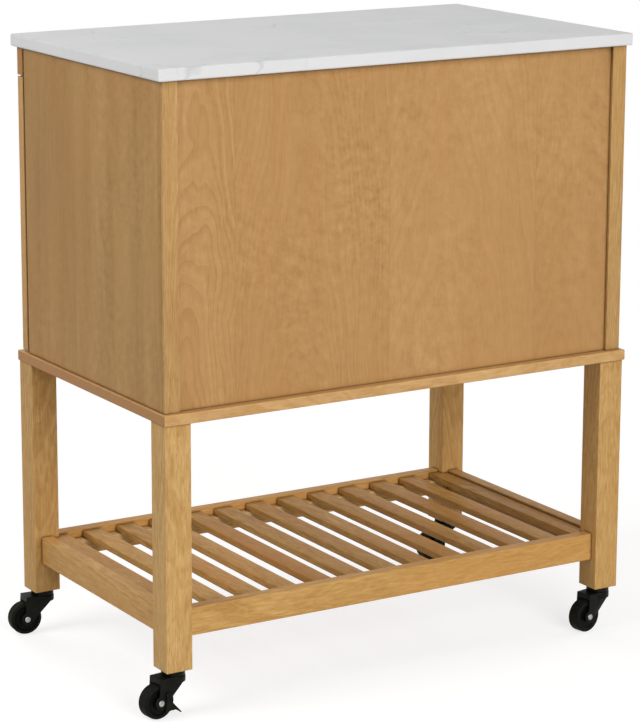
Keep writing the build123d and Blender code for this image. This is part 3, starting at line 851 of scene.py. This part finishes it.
@dataclass
class Grower:
    """A Geometry Nodes tree that grows rows of one kind."""

    tree: bpy.types.NodeTree = field(init=False)
    identifiers: dict[str, str] = field(init=False)

    def begin(self, name: str, kinds: dict[str, str]) -> tuple[Sketch, bpy.types.NodeOutputs]:
        """Make the tree with its named inputs and its one output.

        Args:
            name: Name of the tree.
            kinds: Input name with its socket type, such as Float.

        Returns:
            A sketch to draw the tree's nodes on, and the inputs as the nodes see them.
        """
        self.tree = bpy.data.node_groups.new(name, "GeometryNodeTree")
        self.identifiers = {}
        for key, kind in kinds.items():
            socket = self.tree.interface.new_socket(key, in_out="INPUT", socket_type=f"NodeSocket{kind}")
            self.identifiers[key] = socket.identifier
        self.tree.interface.new_socket("Geometry", in_out="OUTPUT", socket_type="NodeSocketGeometry")
        sketch = Sketch(self.tree)
        return sketch, sketch.node("NodeGroupInput").outputs

    def end(self, sketch: Sketch, instances: bpy.types.Node, material: Socket) -> None:
        """Turn the row of instances into one mesh with its material, as the result of the tree.

        Args:
            sketch: The tree's sketch.
            instances: The row.
            material: The material.
        """
        real = sketch.node("GeometryNodeRealizeInstances", {"Geometry": instances})
        finished = sketch.node("GeometryNodeSetMaterial", {"Geometry": real, "Material": material})
        sketch.node("NodeGroupOutput", {0: finished})

    def grown(self, name: str, values: dict[str, object]) -> bpy.types.Object:
        """Run the tree once and keep its result as a plain mesh.

        Args:
            name: Name of the finished piece.
            values: Input names with the values for this piece.

        Returns:
            An object at the origin that holds the mesh.
        """
        seed = add(f"{name}_seed", bpy.data.meshes.new(f"{name}_seed"))
        modifier = seed.modifiers.new("grow", "NODES")
        modifier.node_group = self.tree
        for key, value in values.items():
            modifier[self.identifiers[key]] = value
        shown = seed.evaluated_get(bpy.context.evaluated_depsgraph_get())
        mesh = bpy.data.meshes.new_from_object(shown)
        mesh.name = name
        seed.modifiers.remove(modifier)
        bpy.data.objects.remove(seed)
        return add(name, mesh)


@dataclass
class SlattedShelf(Grower):
    """The slats between the end ones, grown as one slightly uneven row."""

    edge_radius: float = 0.0012
    edge_steps: int = 3
    swelling: float = 0.0024
    stray: float = 0.0018
    seed: int = 11

    def __post_init__(self) -> None:
        """Draw the tree that grows a row of slats."""
        sketch, given = self.begin("slat_row", {
            "Count": "Int", "First": "Vector", "Pitch": "Vector", "Width": "Float", "Thickness": "Float",
            "Length": "Float", "Edge Radius": "Float", "Edge Steps": "Int", "Stray": "Float", "Seed": "Int",
            "Wood": "Material"})
        outline = sketch.node("GeometryNodeCurvePrimitiveQuadrilateral", {
            "Width": given["Width"], "Height": given["Thickness"]})
        rounding = {"Radius": given["Edge Radius"], "Count": given["Edge Steps"]}
        eased = sketch.node("GeometryNodeFilletCurve", {"Curve": outline, **rounding}, mode="POLY")
        half = sketch.math("MULTIPLY", given["Length"], 0.5)
        front = sketch.combine(y=sketch.math("MULTIPLY", half, -1.0))
        back = sketch.combine(y=half)
        spine = sketch.node("GeometryNodeCurvePrimitiveLine", {"Start": front, "End": back})
        slat = sketch.node("GeometryNodeCurveToMesh", {
            "Curve": spine, "Profile Curve": eased, "Fill Caps": True})
        row = sketch.node("GeometryNodeMeshLine", {
            "Count": given["Count"], "Start Location": given["First"], "Offset": given["Pitch"]})
        seed, stray = given["Seed"], given["Stray"]
        limits = {2: sketch.math("MULTIPLY", stray, -1.0), 3: stray}
        off = sketch.node("FunctionNodeRandomValue", {**limits, "Seed": seed}, data_type="FLOAT").outputs[1]
        uneven = sketch.node("GeometryNodeSetPosition", {"Geometry": row, "Offset": sketch.combine(off)})
        slats = sketch.node("GeometryNodeInstanceOnPoints", {"Points": uneven, "Instance": slat})
        chance = sketch.node("FunctionNodeRandomValue", {"Seed": seed}, data_type="FLOAT").outputs[1]
        marked = sketch.node("GeometryNodeStoreNamedAttribute", {
            "Geometry": slats, "Name": "cut", "Value": chance}, data_type="FLOAT", domain="INSTANCE")
        spot = sketch.node("GeometryNodeInputPosition")
        placed = sketch.node("GeometryNodeStoreNamedAttribute", {
            "Geometry": marked, "Name": "spot", "Value": spot}, data_type="FLOAT_VECTOR", domain="INSTANCE")
        self.end(sketch, placed, given["Wood"])

    def build(self) -> list[str]:
        """Grow the middle slats in place of their plain nodes, and dress the end ones.

        Returns:
            Names of the pieces made.
        """
        nodes = [f"slat_{number:02d}" for number in range(2, SLAT_COUNT)]
        low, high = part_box(nodes[0])
        last_low, last_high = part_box(nodes[-1])
        middle = (low + high) / 2
        pitch = ((last_low + last_high) / 2 - middle) / (len(nodes) - 1)
        size = high - low
        row = self.grown("slat_row", {
            "Count": len(nodes), "First": middle, "Pitch": pitch, "Width": size.x + self.swelling,
            "Thickness": size.z, "Length": size.y, "Edge Radius": self.edge_radius,
            "Edge Steps": self.edge_steps, "Stray": self.stray, "Seed": self.seed,
            "Wood": SLAT_WOOD.material(nodes[0], Axis.DEPTH, shared=True)})
        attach(row, "cart")
        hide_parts(*nodes)
        for node in END_SLATS:
            SLAT_WOOD.lay(node, Axis.DEPTH)
        return ["slat_row"]


@dataclass
class Screws(Grower):
    """Screw heads with a cross recess, where slats, catches and knobs are screwed on."""

    head_radius: float = 0.0034
    head_height: float = 0.0016
    head_sides: int = 32
    crown_share: float = 0.55
    recess_width: float = 0.0008
    recess_share: float = 0.95
    cleat_width: float = 0.014
    catch_inset: float = 0.005
    seed: int = 5

    def __post_init__(self) -> None:
        """Draw the tree that grows a row of screw heads."""
        sketch, given = self.begin("screw_row", {
            "Count": "Int", "First": "Vector", "Pitch": "Vector", "Turn": "Vector", "Head Radius": "Float",
            "Head Height": "Float", "Recess Width": "Float", "Seed": "Int", "Steel": "Material"})
        wide, tall, narrow = given["Head Radius"], given["Head Height"], given["Recess Width"]
        crown = sketch.math("MULTIPLY", wide, self.crown_share)
        head = sketch.node("GeometryNodeMeshCone", {
            "Vertices": self.head_sides, "Side Segments": 1, "Radius Top": crown, "Radius Bottom": wide,
            "Depth": tall})
        long = sketch.math("MULTIPLY", wide, self.recess_share)
        lift = sketch.combine(z=tall)
        for size in (sketch.combine(long, narrow, tall), sketch.combine(narrow, long, tall)):
            bar = sketch.node("GeometryNodeMeshCube", {"Size": size})
            raised = sketch.node("GeometryNodeTransform", {"Geometry": bar, "Translation": lift})
            head = sketch.node("GeometryNodeMeshBoolean", {"Mesh 1": head, "Mesh 2": raised},
                               operation="DIFFERENCE", solver="EXACT")
        row = sketch.node("GeometryNodeMeshLine", {
            "Count": given["Count"], "Start Location": given["First"], "Offset": given["Pitch"]})
        heads = sketch.node("GeometryNodeInstanceOnPoints", {
            "Points": row, "Instance": head, "Rotation": given["Turn"]})
        chance = sketch.node("FunctionNodeRandomValue", {"Seed": given["Seed"], "Max": math.pi},
                             data_type="FLOAT").outputs[1]
        driven = sketch.node("GeometryNodeRotateInstances", {
            "Instances": heads, "Rotation": sketch.combine(z=chance)})
        self.end(sketch, driven, given["Steel"])

    def build(self) -> list[str]:
        """Screw the slats from below, and the catches and knobs to what carries them.

        Returns:
            Names of the rows made.
        """
        steel = BRIGHT_STEEL.material()
        down, to_back = (math.pi, 0.0, 0.0), (-math.pi / 2, 0.0, 0.0)
        start_x, end_x = (sum(corner.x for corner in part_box(slat)) / 2 for slat in END_SLATS)
        low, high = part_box("shelf_cleats")
        pitch = Vector(((end_x - start_x) / (SLAT_COUNT - 1), 0.0, 0.0))
        made = []
        for row, y in (("front", low.y + self.cleat_width / 2), ("back", high.y - self.cleat_width / 2)):
            start = Vector((start_x, y, low.z))
            made.append(self.row(f"cleat_screws_{row}", "cart", SLAT_COUNT, start, pitch, down, steel))
        low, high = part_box("door_catches")
        middle_y = (low.y + high.y) / 2
        inner = Vector((low.x + self.catch_inset, middle_y, low.z))
        span = Vector((high.x - low.x - 2 * self.catch_inset, 0.0, 0.0))
        made.append(self.row("catch_screws", "cart", 2, inner, span, down, steel))
        for side in ("left", "right"):
            low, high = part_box(f"door_knob_{side}")
            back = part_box(f"door_frame_{side}")[1].y
            spot = Vector(((low.x + high.x) / 2, back, (low.z + high.z) / 2))
            made.append(self.row(f"knob_screw_{side}", f"door_{side}", 1, spot, pitch, to_back, steel))
        return made

    def row(self, name: str, body: str, count: int, first: Vector, pitch: Vector, turn: Triple,
            steel: Material) -> str:
        """Grow one row of heads.

        Args:
            name: Name of the row.
            body: Moving body that carries it.
            count: Number of screws.
            first: Place of the first screw, on the face that it is driven into.
            pitch: Step from one screw to the next.
            turn: Turn that brings +Z onto the direction the heads face.
            steel: Material.

        Returns:
            The row's name.
        """
        piece = self.grown(name, {
            "Count": count, "First": first, "Pitch": pitch, "Turn": turn,
            "Head Radius": self.head_radius, "Head Height": self.head_height,
            "Recess Width": self.recess_width, "Seed": self.seed, "Steel": steel})
        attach(piece, body)
        return name


@dataclass
class Casters:
    """Black swivel casters with plated axles."""

    braked: tuple[str, ...] = ("back_right", "front_left")
    tyre_share: float = 0.8
    fork_edge: float = 0.0012
    socket_edge: float = 0.0008

    def build(self) -> list[str]:
        """Dress every caster piece, and round the edges of its mouldings.

        Returns:
            What is made.
        """
        plastic = BLACK_PLASTIC.material()
        steel = AXLE_STEEL.material()
        for corner in CORNERS:
            dress(f"caster_socket_{corner}", plastic)
            dress(f"caster_fork_{corner}", plastic)
            dress(f"caster_axle_{corner}", steel)
            dress(f"caster_wheel_{corner}", self.wheel_finish(corner).material())
            soften(f"caster_fork_{corner}", self.fork_edge)
            soften(f"caster_socket_{corner}", self.socket_edge)
        for corner in self.braked:
            dress(f"brake_pedal_{corner}", plastic)
        return [f"caster_{corner}" for corner in CORNERS]

    def wheel_finish(self, corner: str) -> Wheel:
        """Place the tyre and centre of one wheel by its roll joint.

        Args:
            corner: Corner of the cart.

        Returns:
            The wheel's finish.
        """
        joint = next(one for one in frame["joints"] if one["name"] == f"roll_{corner}")
        low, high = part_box(f"caster_wheel_{corner}")
        axle = Vector(joint["axis"]).normalized()
        tyre_radius = (high.z - low.z) / 2 * self.tyre_share
        return Wheel(f"wheel_{corner}", tuple((low + high) / 2), tuple(axle), tyre_radius)


def bearing(azimuth: float, elevation: float) -> Vector:
    """Point from the cart to where a lamp or the camera stands.

    Args:
        azimuth: Direction in degrees, where 0 is in front of the doors.
        elevation: Height above the horizon, in degrees.

    Returns:
        A vector of length 1.
    """
    turn, rise = math.radians(azimuth), math.radians(elevation)
    return Vector((math.sin(turn) * math.cos(rise), -math.cos(turn) * math.cos(rise), math.sin(rise)))


@dataclass
class Studio:
    """Pale floor, even daylight and the photograph's camera."""

    floor_half_side: float = 14.0
    lens: float = 140.155
    shift: Range = (0.0553, -0.0712)
    place: Triple = (2.1317, 3.5134, 1.4060)
    azimuth: float = 149.383
    elevation: float = 12.443
    sky: Range = (0.14, 0.17)
    lamp_distance: float = 4.2
    lamp_side: float = 2.4
    floor_paint: Colour = tint(164, 163, 161)
    floor_lit: Colour = tint(170, 170, 170)
    floor_glow: float = 0.7
    floor_fade: Range = (0.9, 2.2)

    def build(self) -> list[str]:
        """Make floor, sky, lamps and camera.

        Returns:
            What is made.
        """
        self.floor()
        self.world()
        self.lamp("key_lamp", azimuth=177.0, elevation=15.0, level=0.77)
        self.lamp("end_lamp", azimuth=88.0, elevation=36.0, level=0.53)
        self.lamp("front_lamp", azimuth=5.0, elevation=10.0, level=0.55, shines=False)
        self.lamp("far_lamp", azimuth=272.0, elevation=10.0, level=0.4, shines=False)
        self.camera()
        return ["studio"]

    def seen_ray(self, sketch: Sketch) -> Socket:
        """1 for rays that show the background: from the camera, a glossy surface or glass."""
        path = sketch.node("ShaderNodeLightPath").outputs
        glossy = sketch.math("MAXIMUM", path["Is Camera Ray"], path["Is Glossy Ray"])
        return sketch.math("MAXIMUM", glossy, path["Is Transmission Ray"])

    def floor(self) -> None:
        """Lay a white floor that keeps a soft shadow near the cart."""
        half = self.floor_half_side
        mesh = bpy.data.meshes.new("floor")
        corners = [(-half, -half, 0.0), (half, -half, 0.0), (half, half, 0.0), (-half, half, 0.0)]
        mesh.from_pydata(corners, [], [(0, 1, 2, 3)])
        floor = add("floor", mesh)
        material, sketch = new_material("pale_floor")
        paint = sketch.node("ShaderNodeBsdfDiffuse", {"Color": self.floor_paint})
        lit = sketch.node("ShaderNodeBsdfDiffuse", {"Color": self.floor_lit})
        glow = sketch.node("ShaderNodeEmission", {"Color": WHITE, "Strength": self.floor_glow})
        near = sketch.node("ShaderNodeAddShader", {0: lit, 1: glow})
        far = sketch.node("ShaderNodeEmission", {"Color": WHITE, "Strength": 1.0})
        away = sketch.spread(sketch.length(sketch.place()), *self.floor_fade, 0.0, 1.0)
        shown = sketch.node("ShaderNodeMixShader", {0: away, 1: near, 2: far})
        mixed = sketch.node("ShaderNodeMixShader", {0: self.seen_ray(sketch), 1: paint, 2: shown})
        sketch.node("ShaderNodeOutputMaterial", {"Surface": mixed})
        mesh.materials.append(material)
        floor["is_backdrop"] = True

    def world(self) -> None:
        """Light the cart evenly from all round, and show white behind it."""
        world = bpy.data.worlds.new("studio")
        world.use_nodes = True
        world.node_tree.nodes.clear()
        sketch = Sketch(world.node_tree)
        direction = sketch.node("ShaderNodeTexCoord").outputs["Generated"]
        strength = sketch.spread(sketch.part(direction, "Z"), 0.0, 1.0, *self.sky)
        light = sketch.node("ShaderNodeBackground", {"Color": WHITE, "Strength": strength})
        white = sketch.node("ShaderNodeBackground", {"Color": WHITE, "Strength": 1.0})
        mixed = sketch.node("ShaderNodeMixShader", {0: self.seen_ray(sketch), 1: light, 2: white})
        sketch.node("ShaderNodeOutputWorld", {"Surface": mixed})
        bpy.context.scene.world = world

    def lamp(self, name: str, azimuth: float, elevation: float, level: float, shines: bool = True) -> None:
        """Hang a square soft lamp that faces the cart.

        Args:
            name: Name of the lamp.
            azimuth: Direction it stands in, in degrees, where 0 is in front of the doors.
            elevation: Height above the horizon, in degrees.
            level: Brightness that a white card facing it shows, where 1 is white.
            shines: Whether glossy surfaces mirror the lamp.
        """
        outward = bearing(azimuth, elevation)
        data = bpy.data.lights.new(name, "AREA")
        data.shape = "SQUARE"
        data.size = self.lamp_side
        data.energy = level * math.pi**2 * self.lamp_distance**2
        lamp = add(name, data)
        low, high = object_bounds()
        lamp.location = (low + high) / 2 + outward * self.lamp_distance
        lamp.rotation_mode = "QUATERNION"
        lamp.rotation_quaternion = outward.to_track_quat("Z", "Y")
        lamp.visible_glossy = shines

    def camera(self) -> None:
        """Place the camera as the photograph was taken."""
        back = bearing(self.azimuth, self.elevation)
        right = Vector((0.0, 0.0, 1.0)).cross(back).normalized()
        axes = Matrix((right, back.cross(right), back)).transposed()
        data = bpy.data.cameras.new("camera")
        data.lens = self.lens
        data.shift_x, data.shift_y = self.shift
        camera = add("camera", data)
        camera.matrix_world = Matrix.Translation(self.place) @ axes.to_4x4()
        bpy.context.scene.camera = camera


def main() -> None:
    """Build every part of the picture in order."""
    logging.basicConfig(level=logging.INFO, format="%(name)s %(message)s")
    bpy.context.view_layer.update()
    bpy.context.scene.view_settings.view_transform = "Standard"
    for part in (StoneTop(), Cabinet(), Legs(), SlattedShelf(), Screws(), Casters(), Studio()):
        for name in part.build():
            log.info("made %s", name)


if __name__ == "__main__":
    main()
